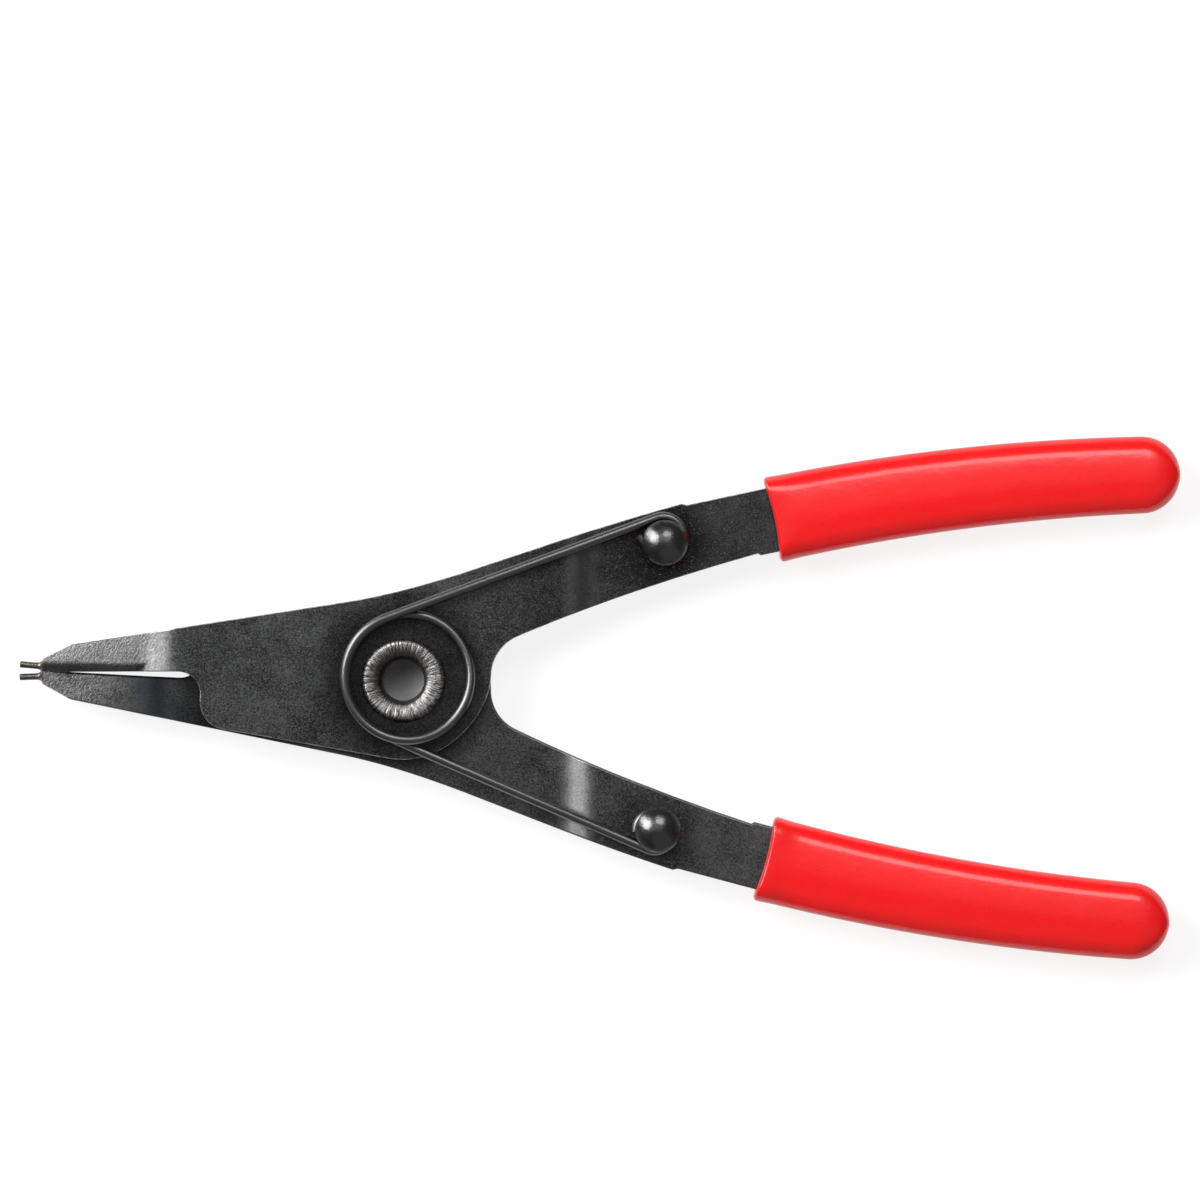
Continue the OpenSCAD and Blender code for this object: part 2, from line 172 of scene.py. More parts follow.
def revolved(name, profile, centre, steps, finish, wobble=None):
    """A turned shape: profile is (radius, height, ...) from pole to pole."""
    rings = []
    for station in profile:
        r, z = station[:2]
        if r == 0:
            rings.append([Vector((centre.x, centre.y, z))])
            continue
        ring = []
        for j in range(steps):
            rr, zz = wobble(station, j) if wobble else (r, z)
            p = centre + rr * heading(360 * j / steps)
            ring.append(Vector((p.x, p.y, zz)))
        rings.append(ring)
    return skin(name, rings, finish)


def dome(width, height, base, steps):
    """Half profile of a low dome from its rim up to its top, on the level base."""
    r = (width * width / 4 + height * height) / (2 * height)
    rim = math.asin(width / 2 / r)
    profile = []
    for i in range(steps):
        a = rim * (1 - i / steps)
        profile.append((r * math.sin(a), base + height - r + r * math.cos(a)))
    return profile + [(0, base + height)]


# Helpers for finishes

class Value:
    """One value in a finish. Operators on it add the Math nodes of the expression."""

    def __init__(self, finish, socket):
        self.finish = finish
        self.socket = socket

    def math(self, operation, *others):
        terms = dict(enumerate((self, *others)))
        return self.finish.node("ShaderNodeMath", {"operation": operation}, terms)

    def __add__(self, other):
        return self.math("ADD", other)

    def __sub__(self, other):
        return self.math("SUBTRACT", other)

    def __mul__(self, other):
        return self.math("MULTIPLY", other)

    def __truediv__(self, other):
        return self.math("DIVIDE", other)

    def __pow__(self, other):
        return self.math("POWER", other)

    def __rsub__(self, other):
        return self * -1 + other

    def __rtruediv__(self, other):
        return self ** -1 * other

    def __abs__(self):
        return self.math("ABSOLUTE")

    __radd__ = __add__
    __rmul__ = __mul__


class Finish:
    """A material with one main shader, whose nodes are added by plain calls."""

    def __init__(self, name, **constants):
        self.material = bpy.data.materials.new(name)
        self.material.use_nodes = True
        self.tree = self.material.node_tree
        self.tree.nodes.clear()
        self.surface = self.tree.nodes.new("ShaderNodeBsdfPrincipled")
        output = self.tree.nodes.new("ShaderNodeOutputMaterial")
        self.tree.links.new(self.surface.outputs[0], output.inputs["Surface"])
        self.set(**constants)

    def put(self, socket, value):
        if isinstance(value, Value):
            self.tree.links.new(value.socket, socket)
        else:
            socket.default_value = value

    def set(self, **sockets):
        for key, value in sockets.items():
            self.put(self.surface.inputs[key.replace("_", " ")], value)

    def node(self, kind, settings=None, sockets=None, output=0):
        node = self.tree.nodes.new(kind)
        for key, value in (settings or {}).items():
            setattr(node, key, value)
        for key, value in (sockets or {}).items():
            self.put(node.inputs[key], value)
        return Value(self, node.outputs[output])

    def place(self):
        """The point on the piece at rest, in millimetres."""
        point = self.node("ShaderNodeTexCoord", output="Object")
        return self.node("ShaderNodeVectorMath", {"operation": "SCALE"}, {0: point, "Scale": 1 / MM})

    def stretched(self, vector, scales):
        return self.node("ShaderNodeVectorMath", {"operation": "MULTIPLY"}, {0: vector, 1: scales})

    def split(self, vector):
        return [self.node("ShaderNodeSeparateXYZ", sockets={0: vector}, output=axis) for axis in "XYZ"]

    def joined(self, x, y, z):
        return self.node("ShaderNodeCombineXYZ", sockets={0: x, 1: y, 2: z})

    def noise(self, vector, scale, detail=2.0, rough=0.5):
        sockets = {"Vector": vector, "Scale": scale, "Detail": detail, "Roughness": rough}
        return self.node("ShaderNodeTexNoise", sockets=sockets)

    def step(self, value, low, high):
        """A soft step from 0 at low to 1 at high, which may lie below low."""
        sockets = {"Value": value, "From Min": low, "From Max": high}
        return self.node("ShaderNodeMapRange", {"interpolation_type": "SMOOTHSTEP"}, sockets)

    def mix(self, factor, a, b):
        return self.node("ShaderNodeMix", {"data_type": "RGBA"}, {0: factor, 6: a, 7: b}, output=2)

    def bump(self, height, distance, strength=1.0):
        """A bumped normal, with the distance in millimetres."""
        sockets = {"Height": height, "Distance": distance * MM, "Strength": strength}
        return self.node("ShaderNodeBump", sockets=sockets)


def grey(level, warm=0.0):
    return (level * (1 + warm), level, level * (1 - warm), 1)


def reach(x, y):
    """Distance from the point where both values are zero."""
    return (x * x + y * y) ** 0.5


# Stretches of a lever where its finish or its painted shade and sheen change, in millimetres, each from
# none to full
JAW_FLAT = (-36.8, -39.5)
SLOT_ROOT = (-30.0, -33.0)
SLOT_TIP = (-51.0, -48.0)
SLOT_SIDE = (1.1, 0.5)
RELIEF_ROOT = (-37.0, -37.8)
RELIEF_TIP = (-53.0, -52.2)
RELIEF_SIDE = (1.8, 1.1)
RELIEF_FACE = (-0.05, 0.05)
# Painted shade on the rear jaw's root beside the front plate's shoulder, tinted blue
ROOT_SHADE_FROM = (-41.0, -37.5)
ROOT_SHADE_TO = (-31.0, -35.5)
# Painted shade on the rear plate beside the front plate's shoulder and flank
FLANK_SHADE_FROM = (-34.5, -31.0)
FLANK_SHADE_TO = (-12.0, -20.0)
TIP = (-51.8, -52.6)
ROUND_PIVOT = (15.0, 9.5)
ROUND_STUD = (9.0, 4.0)
ARM = (11.0, 21.0)
ARM_BEND_X = 25.4
# Painted sheen: a paler band over each arm's bend
ARM_BEND = (3.2, 0.8)
TANG_LINE_X = 40.5
TANG_LINE = (0.3, 0.0)
TANG = (40.2, 40.8)

# Colours of a lever, some of them painted shade or painted sheen
OXIDE_DARK = grey(0.034, -0.02)
OXIDE_PALE = grey(0.138, -0.01)
# Near black, for the darkening round the pivot, the studs and the front arm
NEAR_BLACK = grey(0.0075)
# Pale steel: worn on the jaw, and a painted sheen on the arm bends
WORN_STEEL_AND_SHEEN = grey(0.7)
# Painted shade for the relief facet along each jaw's inner edge
PAINTED_RELIEF_SHADE = grey(0.03)
# Painted shade, tinted blue, for the rear jaw's root
PAINTED_ROOT_SHADE = (0.1, 0.122, 0.142, 1)
# Painted shade for the rear plate beside the front plate's shoulder
PAINTED_FLANK_SHADE = grey(0.012, -0.05)
# Painted shade for the rounded edges inside the slot between the jaws
PAINTED_SLOT_SHADE = grey(0.01)
SPECK = grey(0.4)
TIP_BROWN = (0.14, 0.127, 0.11, 1)


def lever_finish(name, edge_wear_and_sheen, jaw_stretch, jaw_worn, bend_sheen_amount, arm_darkening, painted_shade_amount):
    """Black oxide on stamped plate: grainy, worn pale on the jaw, darker round the pivot and studs, with
    painted shade in the slot, on the relief and by the front plate's shoulder, and a painted sheen on the
    arm bends and rounded edges.
    """
    f = Finish(name, Metallic=1.0)
    mm = f.place()
    x, y, z = f.split(mm)

    # Patterns all over the plate
    grain = f.noise(mm, 4.2, detail=3.0, rough=0.65)
    fine = f.noise(mm, 7.0)
    cloud = f.noise(mm, 0.22, detail=4.0, rough=0.6)
    slanted = f.joined(x * 0.87 - y * 0.5, x * 0.2 + y * 0.35, z)
    stipple = f.noise(slanted, 3.2, detail=3.0, rough=0.6)
    brushed = f.stretched(mm, (0.12, 2.2, 1.0))
    scratch = f.step(f.noise(brushed, 1.6, detail=3.0, rough=0.7), 0.56, 0.72)
    dashes = f.stretched(mm, (0.9, 1.6, 1.0))
    specks = f.step(f.noise(dashes, 3.6, detail=2.0, rough=0.6), 0.6, 0.74)

    # Places on the plate
    jaw = f.step(x, *jaw_stretch)
    jaw_flat = f.step(x, *JAW_FLAT)
    # Where painted shade darkens the rounded edges in the slot between the jaws
    slot = f.step(abs(y), *SLOT_SIDE) * f.step(x, *SLOT_ROOT) * f.step(x, *SLOT_TIP)
    relief = f.step(abs(y), *RELIEF_SIDE) * f.step(y * z, *RELIEF_FACE)
    relief = relief * f.step(x, *RELIEF_ROOT) * f.step(x, *RELIEF_TIP)
    # Painted shade on the rear jaw's root, tinted blue; its amount is 1 on the rear lever and 0 on the
    # front
    root = f.step(x, *ROOT_SHADE_FROM) * f.step(x, *ROOT_SHADE_TO) * painted_shade_amount
    # Painted shade on the rear plate beside the front plate's shoulder
    shade = f.step(x, *FLANK_SHADE_FROM) * f.step(x, *FLANK_SHADE_TO) * painted_shade_amount
    tip = f.step(x, *TIP)
    pivot = f.step(reach(x, y), *ROUND_PIVOT)
    stud = f.step(reach(x - STUD.x, abs(y) - STUD.y), *ROUND_STUD)
    arm = f.step(x, *ARM) * arm_darkening
    # Painted sheen on the arm's bend
    bend = f.step(abs(x - ARM_BEND_X), *ARM_BEND) * bend_sheen_amount
    tang = f.step(x, *TANG)
    line = f.step(abs(x - TANG_LINE_X), *TANG_LINE)

    # Colour from the oxide up to the worn steel on it, with painted shade in places, and on the rounded
    # edges worn steel with a painted sheen
    tone = 0.5 + (grain - 0.5) * 3.6 + (cloud - 0.5) * 1.3 + scratch * 0.25 + edge_wear_and_sheen + tang * 0.25
    pale = jaw_worn + jaw_flat * 0.22 + (stipple - 0.5) * 0.85 + (cloud - 0.5) * 0.4
    base = f.mix(tone, OXIDE_DARK, OXIDE_PALE)
    # Darker round the pivot, the studs and the front arm
    base = f.mix(pivot * 0.7 + stud * 0.4 + arm, base, NEAR_BLACK)
    # Worn pale steel on the jaw, and painted sheen on the arm bends
    base = f.mix(jaw * pale + bend, base, WORN_STEEL_AND_SHEEN)
    # Painted shade on the relief facet, deeper than its tilt gives
    base = f.mix(relief * 0.82, base, PAINTED_RELIEF_SHADE)
    # Painted shade, tinted blue, at the rear jaw's root
    base = f.mix(root * 0.7, base, PAINTED_ROOT_SHADE)
    # Painted shade beside the front plate's shoulder
    base = f.mix(shade * 0.7, base, PAINTED_FLANK_SHADE)
    # Painted shade on the rounded edges in the slot; it shows only on the rounded-edge copies
    base = f.mix(slot * edge_wear_and_sheen * 2.6, base, PAINTED_SLOT_SHADE)
    base = f.mix(specks * (0.5 - root * 0.4 - shade * 0.4 - pivot * 0.35), base, SPECK)
    base = f.mix(tip * 0.85, base, TIP_BROWN)
    height = grain * 0.7 + fine * 0.3 + (jaw * 2.2 + jaw_flat * jaw * 3.4) * stipple - line * 0.8
    f.set(Base_Color=base)
    f.set(Roughness=0.36 + (grain - 0.5) * 0.3 + (cloud - 0.5) * 0.15 + jaw * 0.04 - tip * 0.1)
    f.set(Normal=f.bump(height, 0.014, strength=0.9))
    return f.material


def worn_edge_finish():
    """Sheared edges rubbed through to bright steel in places."""
    f = Finish("worn_edge", Metallic=1.0)
    mm = f.place()
    rub = f.noise(mm, 0.8, detail=4.0, rough=0.6)
    fine = f.noise(mm, 7.0)
    f.set(Base_Color=f.mix(f.step(rub, 0.35, 0.65), grey(0.12), grey(0.36)))
    f.set(Roughness=0.34 + (fine - 0.5) * 0.3)
    f.set(Normal=f.bump(fine, 0.008))
    return f.material


# Stretches of the rivet where its finish changes, in millimetres, and the colour of its staining, which on
# the flare's upper-left side is also painted shade
CLINCH_RISE = (2.55, 2.75)
FLARE = (5.2, 3.9)
HOLE_DEPTH = (2.4, 0.5)
STAINED_AND_SHADED_SIDE = (2.5, -4.0)
BROWN_STAIN_AND_SHADE = (0.04, 0.031, 0.024, 1)


def rivet_finish():
    """Bright strokes round the flared clinch, brown staining in the flare that deepens as painted shade on
    its upper-left side, dull floor in the hole.
    """
    f = Finish("rivet_steel", Metallic=1.0)
    mm = f.place()
    x, y, z = f.split(mm)
    r = reach(x, y)
    turn = y.math("ARCTAN2", x)
    polar = f.joined(turn * 13.0, r * 0.3, z * 0.2)
    stroke = f.noise(polar, 3.2, detail=3.0, rough=0.7)
    grain = f.noise(mm, 4.0, detail=3.0)
    ring = f.step(z, *CLINCH_RISE)
    inner = f.step(r, *FLARE) * ring
    hole = f.step(z, *HOLE_DEPTH)
    # Brown staining, and painted shade on the flare's upper-left side
    stained_and_shaded = f.step(x - y, *STAINED_AND_SHADED_SIDE) * inner
    base = f.mix(ring * (0.45 + (stroke - 0.5) * 4.0), grey(0.03, 0.1), grey(0.52, 0.01))
    base = f.mix(inner * 0.15 + stained_and_shaded * 0.6, base, BROWN_STAIN_AND_SHADE)
    base = f.mix(hole, base, f.mix(grain, grey(0.075), grey(0.145)))
    f.set(Base_Color=base)
    f.set(Roughness=0.4 + (grain - 0.5) * 0.2 + hole * 0.06)
    f.set(Normal=f.bump(stroke * ring + grain * 0.3, 0.05))
    return f.material


def black_steel_finish(name, level, roughness, dents):
    """Smooth blackened steel of the wire and the studs, with faint drawing marks and shallow dents."""
    f = Finish(name, Metallic=1.0)
    mm = f.place()
    grain = f.noise(mm, 5.0, detail=3.0)
    cloud = f.noise(mm, 0.7)
    f.set(Base_Color=f.mix(grain, grey(level * 0.8), grey(level * 1.2)))
    f.set(Roughness=roughness + (grain - 0.5) * 0.06 + (cloud - 0.5) * 0.08)
    f.set(Normal=f.bump(grain * 0.04 + f.noise(mm, 0.9) * dents, 0.06))
    return f.material


def vinyl_finish():
    """Glossy dipped vinyl with the slight waves of a dipped skin and a few pale specks of dust."""
    f = Finish("red_vinyl", Metallic=0.0, Coat_Roughness=0.12)
    mm = f.place()
    wave = f.noise(mm, 0.22)
    peel = f.noise(mm, 1.6)
    dust = f.noise(mm, 8.0)
    specks = f.step(f.noise(mm, 1.3, detail=4.0, rough=0.7), 0.71, 0.75)
    deep_red = (0.97, 0.003, 0.004, 1)
    light_red = (1.0, 0.006, 0.008, 1)
    dusty_red = (1, 0.3, 0.3, 1)
    base = f.mix(wave, deep_red, light_red)
    f.set(Base_Color=f.mix(specks * 0.3, base, dusty_red))
    f.set(Roughness=0.3 + (peel - 0.5) * 0.12 + (dust - 0.5) * 0.06)
    f.set(Coat_Weight=0.35 + (wave - 0.5) * 0.2)
    f.set(Normal=f.bump(wave * 0.8 + peel * 0.2 + dust * 0.02, 0.12))
    return f.material


# Levers: the stamped plates with their edges rounded on the punch side and rubbed on the other

def bevel(bm, edges, width, segments, material):
    """Rounds the edges over a width in millimetres, with one of the piece's materials on the new faces."""
    bmesh.ops.bevel(
        bm, geom=[edge for edge in edges if edge.is_valid], offset=width * MM, offset_type="OFFSET",
        segments=segments, profile=0.5, affect="EDGES", clamp_overlap=False, material=material,
        loop_slide=True,
    )


def shut_jaws(bm):
    """Brings the faces of the closed stretch, before the slot, almost together."""
    drawn_apart = 0.06
    shut = 0.008
    for vert in bm.verts:
        if vert.co.x < JAW_LAND_END * MM and abs(vert.co.y) < drawn_apart * MM:
            vert.co.y = math.copysign(shut * MM, vert.co.y)


def stamped_plate(node, body, punch_side, finishes):
    """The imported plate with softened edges; punch_side is +1 or -1 for the face with rounder edges."""
    flat_within, crease_above, edge_above = 0.6, 12, 50
    facing, facing_both = 0.3, 1.5
    bm = bmesh.new()
    bm.from_mesh(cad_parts[node].data)
    bmesh.ops.remove_doubles(bm, verts=bm.verts, dist=WELD * MM)
    bmesh.ops.dissolve_limit(bm, angle_limit=math.radians(flat_within), verts=bm.verts, edges=bm.edges)
    shut_jaws(bm)
    bm.normal_update()
    round_edges = []
    rubbed_edges = []
    relief_edges = []
    for edge in bm.edges:
        ends = [vert.co.x for vert in edge.verts]
        if min(ends) < TIP_START * MM:
            continue
        angle = math.degrees(edge.calc_face_angle())
        lift = sum(face.normal.z for face in edge.link_faces)
        if angle < edge_above:
            if angle > crease_above and max(ends) < RELIEF_END * MM and abs(lift) > facing_both:
                edge.smooth = False
                relief_edges.append(edge)
        elif edge.is_convex and lift * punch_side > facing:
            round_edges.append(edge)
        elif edge.is_convex and lift * punch_side < -facing:
            rubbed_edges.append(edge)
    relief_edge = max(relief_edges, key=lambda edge: edge.calc_length())
    relief_edge.smooth = True
    bevel(bm, [relief_edge], width=0.4, segments=4, material=0)
    bevel(bm, rubbed_edges, width=0.13, segments=2, material=1)
    bevel(bm, round_edges, width=0.3, segments=3, material=2)
    piece = piece_from(bm, node + "_stamped", finishes)
    keep_flat = piece.modifiers.new("keep_flat", "WEIGHTED_NORMAL")
    keep_flat.keep_sharp = True
    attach(piece, body)
    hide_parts(node)


# Rivet: hollow end flared and rolled over with fine radial strokes, domed head behind

def stroke_depths(steps):
    """Heights of random tool strokes round the clinch, as soft grooves and ridges."""
    strokes, half_width, spread = 150, 8, 8
    deepest, highest = -0.045, 0.025
    draw = random.Random(7)
    depths = [0.0] * steps
    for _ in range(strokes):
        at = draw.randrange(steps)
        depth = draw.uniform(deepest, highest)
        for off in range(-half_width, half_width + 1):
            depths[(at + off) % steps] += depth * math.exp(-off * off / spread)
    return depths


def rivet_profile():
    """Half profile of (radius, height, share of the strokes), from the hole's floor to the head's top."""
    floor_z, dish_r, dish_rise, dish_steps = -0.8, 3.0, 0.4, 8
    groove = [(3.05, -0.48, 0), (3.25, -0.5, 0), (HOLE_R, -0.4, 0)]
    wall = [(HOLE_R, 0.6, 0), (HOLE_R, 1.8, 0)]
    lip_steps, edge_steps, head_steps = 18, 12, 24
    neck, chamfer = 0.02, 0.1
    seat = LEVER_TOP + CLEAR
    profile = [(0, floor_z, 0)]
    for i in range(1, dish_steps + 1):
        share = i / dish_steps
        profile.append((dish_r * share, floor_z + dish_rise * share * share, 0))
    profile += groove + wall
    for i in range(lip_steps + 1):
        a = math.radians(180 - 90 * i / lip_steps)
        r = CREST_R + (CREST_R - HOLE_R) * math.cos(a)
        profile.append((r, seat + CLINCH_EDGE_R * math.sin(a), smooth(i / lip_steps)))
    for i in range(1, edge_steps + 1):
        a = math.radians(90 - 90 * i / edge_steps)
        r = CREST_R + CLINCH_EDGE_R * math.cos(a)
        profile.append((r, seat + CLINCH_EDGE_R * math.sin(a), smooth(3 * (1 - i / edge_steps))))
    profile += [(RIVET_SHANK_R + neck, seat, 0), (RIVET_SHANK_R, seat - chamfer, 0)]
    profile += [(RIVET_SHANK_R, -LEVER_TOP, 0), (RIVET_HEAD_D / 2 - chamfer, -LEVER_TOP, 0)]
    profile.append((RIVET_HEAD_D / 2, -LEVER_TOP - chamfer, 0))
    head = dome(RIVET_HEAD_D, RIVET_HEAD_H, 0, head_steps)[1:]
    return profile + [(r, -LEVER_TOP - z, 0) for r, z in head]


def pivot_rivet(finish):
    steps = 720
    level = 0.03
    depths = stroke_depths(steps)

    def wobble(station, j):
        r, z, marked = station
        sunk = (level - min(level, depths[j])) * marked
        return r - sunk * max(0, (r - CREST_R) / CLINCH_EDGE_R), z - sunk

    piece = revolved("pivot_rivet_clinched", rivet_profile(), Vector((0, 0)), steps, finish, wobble)
    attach(piece, "rear_lever")
    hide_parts("pivot_rivet")


# Spring: one wire from the upper hook round the coil to the lower hook

def leg_angle(hook_c, hook_r, side):
    """Direction of the straight leg that touches both the coil and a hook."""
    d = hook_c - COIL_C
    return math.degrees(math.atan2(d.y, d.x) - side * math.asin((COIL_R - hook_r) / d.length))


def arc(c, r, start, end, steps):
    return [c + r * heading(start + (end - start) * i / steps) for i in range(steps + 1)]


def ramp(u):
    """A rise from 0 to 1 that speeds up over its first half and slows down over its second."""
    u = min(1.0, max(0.0, u))
    if u < 0.5:
        return 2 * u * u
    return 1 - 2 * (1 - u) * (1 - u)


def spring_route():
    """The middle line of the wire, as points in millimetres."""
    upper_pull, upper_wrap, upper_turn, upper_tail = 110, 220, 33, 4.1
    lower_pull, lower_wrap, lower_tail = -154, 293, 0.1
    turns, stack, rise_end, fall_start = 2, 165, 0.85, 0.2
    upper_hook_steps, lower_hook_steps, coil_steps, leg_steps = 60, 70, 240, 30
    low = LEVER_TOP + CLEAR + WIRE_D / 2
    high = low + WIRE_D + CLEAR
    hook_z = HANDLE_TOP + 2 * CLEAR + WIRE_D / 2
    held = WIRE_D / 2 + STUD_SHANK_R + CLEAR
    upper_c = STUD + (UPPER_HOOK_R - held) * heading(upper_pull)
    lower_c = Vector((STUD.x, -STUD.y)) + (LOWER_HOOK_R - held) * heading(lower_pull)
    start = leg_angle(upper_c, UPPER_HOOK_R, 1) + 90
    end = leg_angle(lower_c, LOWER_HOOK_R, -1) - 90 + 360 * turns
    upper_hook = arc(upper_c, UPPER_HOOK_R, start - upper_wrap, start, upper_hook_steps)
    lower_hook = arc(lower_c, LOWER_HOOK_R, end, end + lower_wrap, lower_hook_steps)
    upper_end = upper_hook[0] + upper_tail * heading(start - upper_wrap - 90 - upper_turn)
    lower_end = lower_hook[-1] + lower_tail * heading(end + lower_wrap + 90)
    coil = arc(COIL_C, COIL_R, start, end, coil_steps)
    route = [(upper_end, hook_z)]
    route += [(p, hook_z) for p in upper_hook]
    for i in range(1, leg_steps):
        u = i / leg_steps
        rise = math.sin(math.radians(90 * min(1, u / rise_end)))
        route.append((upper_hook[-1].lerp(coil[0], u), hook_z + (high - hook_z) * rise))
    for i, p in enumerate(coil):
        a = start + (end - start) * i / coil_steps
        route.append((p, high + (low - high) * ramp((a - start - stack) / (end - start - 2 * stack))))
    for i in range(1, leg_steps):
        u = i / leg_steps
        fall = (1 - math.cos(math.pi * max(0, (u - fall_start) / (1 - fall_start)))) / 2
        route.append((coil[-1].lerp(lower_hook[0], u), low + (hook_z - low) * fall))
    route += [(p, hook_z) for p in lower_hook]
    route.append((lower_end, hook_z))
    return [Vector((p.x, p.y, z)) for p, z in route]


def return_spring(finish):
    sides = 24
    chamfer = 0.06
    route = spring_route()
    first = (route[1] - route[0]).normalized()
    last = (route[-1] - route[-2]).normalized()
    route.insert(1, route[0] + first * chamfer)
    route.insert(-1, route[-1] - last * chamfer)
    rings = []
    for i, p in enumerate(route):
        along = (route[min(len(route) - 1, i + 1)] - route[max(0, i - 1)]).normalized()
        across = along.cross(Vector((0, 0, 1))).normalized()
        up = across.cross(along)
        at_end = i in (0, len(route) - 1)
        r = WIRE_D / 2 - chamfer if at_end else WIRE_D / 2
        ring = []
        for j in range(sides):
            a = 2 * math.pi * j / sides
            ring.append(p + r * (math.cos(a) * across + math.sin(a) * up))
        rings.append(ring)
    piece = skin("return_spring_wire", rings, finish)
    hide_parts("return_spring")
    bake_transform(piece)


# Studs: domed heads that hold the hooks, riveted over behind the handles

def spring_stud(node, body, side, finish):
    groove_spare, rim = 0.35, 0.06
    tail_steps, head_steps, round_steps = 8, 20, 72
    seat = HANDLE_TOP + WIRE_D + groove_spare
    tail = dome(STUD_TAIL_D, STUD_TAIL_H, 0, tail_steps)
    profile = [(r, -HANDLE_TOP - z) for r, z in reversed(tail)]
    profile += [(STUD_SHANK_R, -HANDLE_TOP), (STUD_SHANK_R, seat), (STUD_HEAD_D / 2 - rim, seat)]
    profile += dome(STUD_HEAD_D, STUD_HEAD_H, seat, head_steps)
    piece = revolved(node + "_domed", profile, Vector((STUD.x, side * STUD.y)), round_steps, finish)
    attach(piece, body)
    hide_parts(node)


# Grips: dipped skins lofted along the bent handles

def spine_normal(s):
    """Direction across the bent handle, at s along it from the grip's mouth."""
    return heading(MOUTH_ANGLE - math.degrees(s / HANDLE_BEND_R) + 90)


def spine(s):
    """Point on the middle line of the bent handle."""
    return MOUTH + HANDLE_BEND_R * (spine_normal(s) - spine_normal(0))


def tang_half(s):
    """Half the width of the tang, which narrows towards its end."""
    return (TANG_W + (TANG_END_W - TANG_W) * (s / CAP_S)) / 2


def rounded_outline(w, h, corner_r):
    """Points round a box with the half sizes w and h and round corners."""
    corner_steps = 10
    side_steps = 6
    r = min(corner_r, w, h)
    corners = [(w - r, h - r, 0), (r - w, h - r, 90), (r - w, r - h, 180), (w - r, r - h, 270)]
    outline = []
    for k, (cx, cz, turn) in enumerate(corners):
        for i in range(corner_steps + 1):
            outline.append(Vector((cx, cz)) + r * heading(turn + 90 * i / corner_steps))
        next_cx, next_cz, next_turn = corners[(k + 1) % len(corners)]
        last = outline[-1]
        following = Vector((next_cx, next_cz)) + r * heading(next_turn)
        outline += [last.lerp(following, i / side_steps) for i in range(1, side_steps)]
    return outline


def grip_ring(s, w, h, bow, corner_r, pillow=0.0):
    """One ring of a grip at s along the handle, bowed along it and thinner towards its sides."""
    ring = []
    for across, z in rounded_outline(w, h, corner_r):
        edge = across * across / (w * w)
        place = s + bow * (1 - edge)
        p = spine(place) + across * spine_normal(place)
        ring.append(Vector((p.x, p.y, z * (1 - pillow * edge))))
    return ring


def dipped_grip(node, body, side, finish):
    h = HANDLE_TOP + COAT
    rings = []

    # Inside of the mouth: (place, gap round the tang, corner radius)
    inner = [(1.5, 0.03, 0.25), (0.5, 0.03, 0.25), (0.22, 0.06, 0.3), (0.07, 0.25, 0.5), (0.0, 0.6, 0.9)]
    for s, gap, corner_r in inner:
        rings.append(grip_ring(s, tang_half(s) + gap, HANDLE_TOP + gap, MOUTH_BOW, corner_r))

    # Rolled lip
    lip, lip_len, lip_sunk, lip_corner_r, lip_steps = 0.1, 0.6, 0.7, 1.2, 8
    for i in range(1, lip_steps + 1):
        a = math.pi / 2 * i / lip_steps
        s = lip_len * (1 - math.cos(a))
        growth = -lip_sunk + (lip_sunk + lip) * math.sin(a)
        corner_r = lip_corner_r + (GRIP_CORNER_R - lip_corner_r) * i / lip_steps
        bow = MOUTH_BOW * (1 - s / MOUTH_BOW_FADE)
        rings.append(grip_ring(s, tang_half(s) + COAT + growth, h + growth, bow, corner_r))

    # Skin along the handle
    skin_start, lip_end, lip_fade, pillow_fade, skin_steps = 0.9, 1.0, 1.8, 4, 48
    for i in range(skin_steps + 1):
        s = skin_start + (CAP_S - skin_start) * i / skin_steps
        growth = lip * (1 - smooth((s - lip_end) / lip_fade))
        bow = MOUTH_BOW * max(0, 1 - s / MOUTH_BOW_FADE)
        pillow = GRIP_PILLOW * smooth((s - skin_start) / pillow_fade)
        rings.append(grip_ring(s, tang_half(s) + COAT + growth, h + growth, bow, GRIP_CORNER_R, pillow))

    # Round end
    end_r, end_steps, pole_angle = TANG_END_W / 2 + COAT, 16, 85
    for i in range(1, end_steps):
        a = math.pi / 2 * i / end_steps
        s = CAP_S + end_r * math.sin(a)
        w = end_r * math.cos(a)
        end_h = h * math.cos(a) ** 0.5
        rings.append(grip_ring(s, w, end_h, 0, GRIP_CORNER_R, GRIP_PILLOW))
    pole = spine(CAP_S + end_r * math.sin(math.radians(pole_angle)))
    rings.append([Vector((pole.x, pole.y, 0))])

    if side < 0:
        rings = [[Vector((p.x, -p.y, -p.z)) for p in ring] for ring in rings]
    piece = skin(node + "_dipped", rings, finish)
    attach(piece, body)
    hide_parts(node)


# All pieces
# The paler bands over the arm bends are painted sheen
FRONT_LOOK = {
    "jaw_stretch": (-32.5, -37.0), "jaw_worn": 0.25,
    "bend_sheen_amount": 0.15, "arm_darkening": 0.45, "painted_shade_amount": 0.0,
}
# The rear lever has painted shade at its jaw's root and beside the front plate's shoulder
REAR_LOOK = {
    "jaw_stretch": (-37.0, -47.0), "jaw_worn": -0.07,
    "bend_sheen_amount": 0.14, "arm_darkening": 0.0, "painted_shade_amount": 1.0,
}
edge_finish = worn_edge_finish()
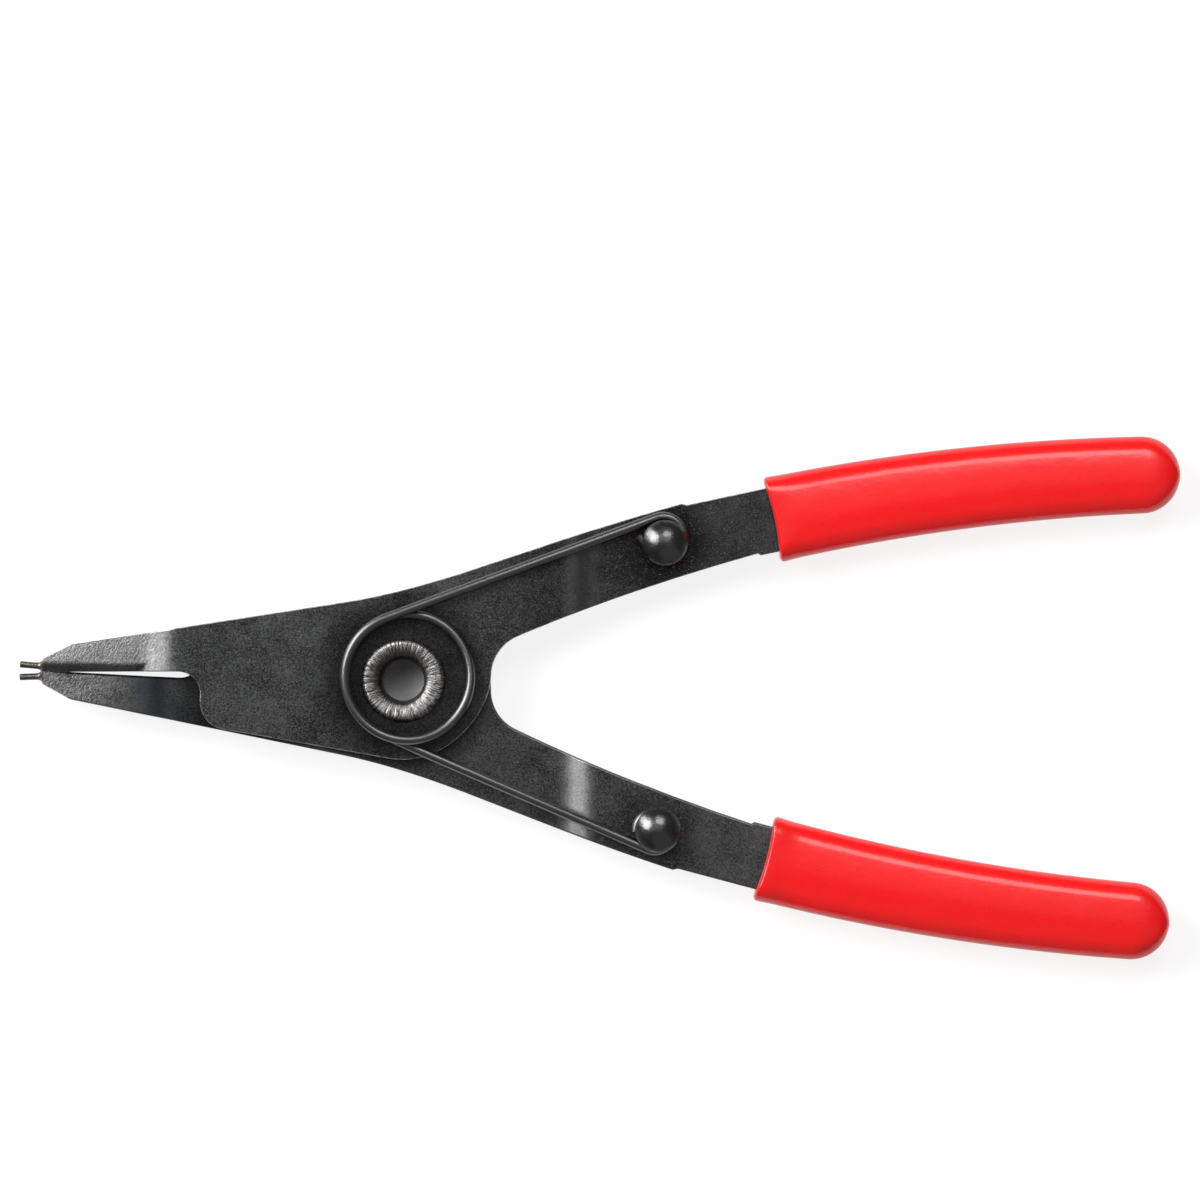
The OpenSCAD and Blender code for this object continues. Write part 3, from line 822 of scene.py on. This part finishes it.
# The rounded-edge copies are paler, worn with a painted sheen; the same amount sets the painted shade in
# the slot
front_finishes = [
    lever_finish("front_oxide", edge_wear_and_sheen=0.0, **FRONT_LOOK),
    edge_finish,
    lever_finish("front_oxide_rounded", edge_wear_and_sheen=0.3, **FRONT_LOOK),
]
rear_finishes = [
    lever_finish("rear_oxide", edge_wear_and_sheen=0.0, **REAR_LOOK),
    edge_finish,
    lever_finish("rear_oxide_rounded", edge_wear_and_sheen=0.6, **REAR_LOOK),
]
stamped_plate("front_plate", "front_lever", -1, front_finishes)
stamped_plate("rear_plate", "rear_lever", 1, rear_finishes)
pivot_rivet(rivet_finish())
return_spring(black_steel_finish("spring_wire", level=0.135, roughness=0.34, dents=0.0))
stud_finish = black_steel_finish("stud_steel", level=0.11, roughness=0.27, dents=1.0)
spring_stud("upper_spring_stud", "front_lever", 1, stud_finish)
spring_stud("lower_spring_stud", "rear_lever", -1, stud_finish)
red_vinyl = vinyl_finish()
dipped_grip("upper_grip", "front_lever", 1, red_vinyl)
dipped_grip("lower_grip", "rear_lever", -1, red_vinyl)


# Floor, light and camera

def floor():
    """A pale floor that looks white where it is seen, and keeps the shadow."""
    size = 4.0
    gap = 0.0002
    f = Finish("pale_floor", Metallic=0.0, Roughness=0.9)
    seen = f.node("ShaderNodeLightPath", output="Is Camera Ray")
    seen = seen + f.node("ShaderNodeLightPath", output="Is Glossy Ray")
    seen = seen + f.node("ShaderNodeLightPath", output="Is Transmission Ray")
    f.set(Base_Color=f.mix(seen, grey(0.85), grey(0.22)))
    f.set(Emission_Color=f.mix(seen, grey(0.0), grey(0.84)), Emission_Strength=1.0)
    level = cad_box[0][2] - gap
    corners = [(-size, -size), (size, -size), (size, size), (-size, size)]
    bm = bmesh.new()
    bm.faces.new([bm.verts.new((x, y, level)) for x, y in corners])
    plane = piece_from(bm, "floor", [f.material])


def softbox(name, place, size, power):
    """A square lamp that looks at the origin, in metres and watts."""
    light = bpy.data.lights.new(name, "AREA")
    light.shape = "SQUARE"
    light.size = size
    light.energy = power
    lamp = bpy.data.objects.new(name, light)
    lamp.location = place
    lamp.rotation_euler = (-Vector(place)).to_track_quat("-Z", "Y").to_euler()
    bpy.context.scene.collection.objects.link(lamp)


def studio(strength):
    """An even white world."""
    world = bpy.data.worlds.new("studio")
    world.use_nodes = True
    background = world.node_tree.nodes["Background"]
    background.inputs["Color"].default_value = (1, 1, 1, 1)
    background.inputs["Strength"].default_value = strength
    bpy.context.scene.world = world


def camera():
    """Straight down on the tool from high up, turned a little."""
    centre = Vector((28.2, 12.3)) * MM
    height = 1.2
    frame_width = 174 * MM
    sensor = 36
    turned = 1.4
    lens = bpy.data.cameras.new("camera")
    lens.sensor_width = sensor
    lens.lens = sensor * height / frame_width
    lens.clip_start = 0.05
    eye = bpy.data.objects.new("camera", lens)
    eye.location = (centre.x, centre.y, height)
    eye.rotation_euler = (0, 0, math.radians(turned))
    bpy.context.scene.collection.objects.link(eye)
    bpy.context.scene.camera = eye


floor()
softbox("key", (-0.62, 0.32, 0.64), size=0.5, power=8.2)
softbox("side", (-0.8, 0.52, 0.3), size=0.4, power=3.6)
softbox("above", (0.05, 0.5, 1.5), size=1.2, power=1.65)
softbox("top", (0.15, 0.62, 0.9), size=0.45, power=3.2)
softbox("fill", (0.35, -0.75, 0.8), size=1.4, power=0.9)
studio(strength=0.12)
bpy.context.scene.view_settings.view_transform = "Standard"
camera()
